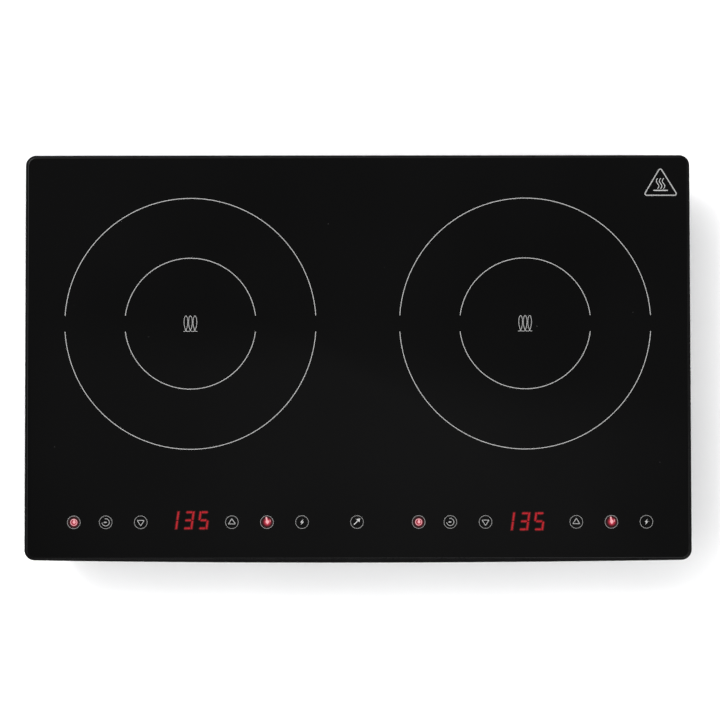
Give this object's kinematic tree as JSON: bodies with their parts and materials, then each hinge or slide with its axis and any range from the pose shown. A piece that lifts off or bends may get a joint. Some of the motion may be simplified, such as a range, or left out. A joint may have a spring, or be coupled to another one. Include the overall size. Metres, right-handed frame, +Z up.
{
  "type": "electric induction cooktop",
  "caption": "Flat countertop induction hob: black glass plate with cooking zone rings and touch keys, in a slim frame over a tapered vented tray on rubber feet.",
  "frame": {"origin": "middle of the footprint, on the surface that the feet stand on", "axes": "+X to the right along the width, +Y to the back, +Z up; the touch keys are along the front edge, at -Y"},
  "size_m": [0.609, 0.373, 0.065],
  "materials": {
    "black_glass": "polished black glass-ceramic",
    "frame_plastic": "satin moulded black plastic",
    "housing_plastic": "fine-grained black plastic",
    "rubber": "soft black rubber",
    "silicone": "black silicone bead",
    "screw_steel": "zinc-plated steel",
    "copper": "enamelled copper wire",
    "carrier_plastic": "glass-filled plastic",
    "mica": "flaky mica",
    "ceramic": "pressed ceramic",
    "ferrite": "sintered ferrite",
    "circuit_board": "green solder mask",
    "heat_sink_aluminium": "extruded aluminium",
    "package_plastic": "moulded epoxy",
    "capacitor_film": "dipped red coating",
    "fan_plastic": "moulded black plastic",
    "terminal_plastic": "moulded white plastic",
    "display_window": "smoked red window",
    "marking_print": "light grey enamel print under the polish",
    "red_light": "red light shining through the glass",
    "pale_light": "pale pink light shining through the glass"
  },
  "bodies": {
    "case": {"glass_plate": "black_glass", "glass_bead": "silicone", "upper_frame": "frame_plastic", "bottom_housing": "housing_plastic", "cord_gland": "rubber", "mains_terminal": "terminal_plastic", "control_board_tray": "carrier_plastic", "control_board": "circuit_board", "left_display": "display_window", "right_display": "display_window", "foot_front_left": "rubber", "foot_front_right": "rubber", "foot_back_right": "rubber", "foot_back_left": "rubber", "housing_screw_1": "screw_steel", "housing_screw_2": "screw_steel", "housing_screw_3": "screw_steel", "housing_screw_4": "screw_steel", "housing_screw_5": "screw_steel", "housing_screw_6": "screw_steel", "housing_screw_7": "screw_steel", "housing_screw_8": "screw_steel", "left_coil_carrier": "carrier_plastic", "left_coil_winding": "copper", "left_mica_sheet": "mica", "left_temperature_sensor": "ceramic", "left_power_board": "circuit_board", "left_heat_sink": "heat_sink_aluminium", "left_power_transistor": "package_plastic", "left_bridge_rectifier": "package_plastic", "left_resonance_capacitor": "capacitor_film", "left_filter_capacitor": "capacitor_film", "left_choke": "copper", "left_fan_frame": "fan_plastic", "left_fan_motor": "copper", "left_ferrite_1": "ferrite", "left_ferrite_2": "ferrite", "left_ferrite_3": "ferrite", "left_ferrite_4": "ferrite", "right_coil_carrier": "carrier_plastic", "right_coil_winding": "copper", "right_mica_sheet": "mica", "right_temperature_sensor": "ceramic", "right_power_board": "circuit_board", "right_heat_sink": "heat_sink_aluminium", "right_power_transistor": "package_plastic", "right_bridge_rectifier": "package_plastic", "right_resonance_capacitor": "capacitor_film", "right_filter_capacitor": "capacitor_film", "right_choke": "copper", "right_fan_frame": "fan_plastic", "right_fan_motor": "copper", "right_ferrite_1": "ferrite", "right_ferrite_2": "ferrite", "right_ferrite_3": "ferrite", "right_ferrite_4": "ferrite"},
    "left_fan": {"left_fan_rotor": "fan_plastic", "left_fan_shaft": "screw_steel"},
    "right_fan": {"right_fan_rotor": "fan_plastic", "right_fan_shaft": "screw_steel"}
  },
  "joints": [
    {"name": "left_fan_spin", "type": "hinge", "parent": "case", "child": "left_fan", "pos_m": [-0.15325, 0.122, 0.023], "axis": [0, 0, 1], "continuous": true},
    {"name": "right_fan_spin", "type": "hinge", "parent": "case", "child": "right_fan", "pos_m": [0.15325, 0.122, 0.023], "axis": [0, 0, 1], "continuous": true}
  ]
}
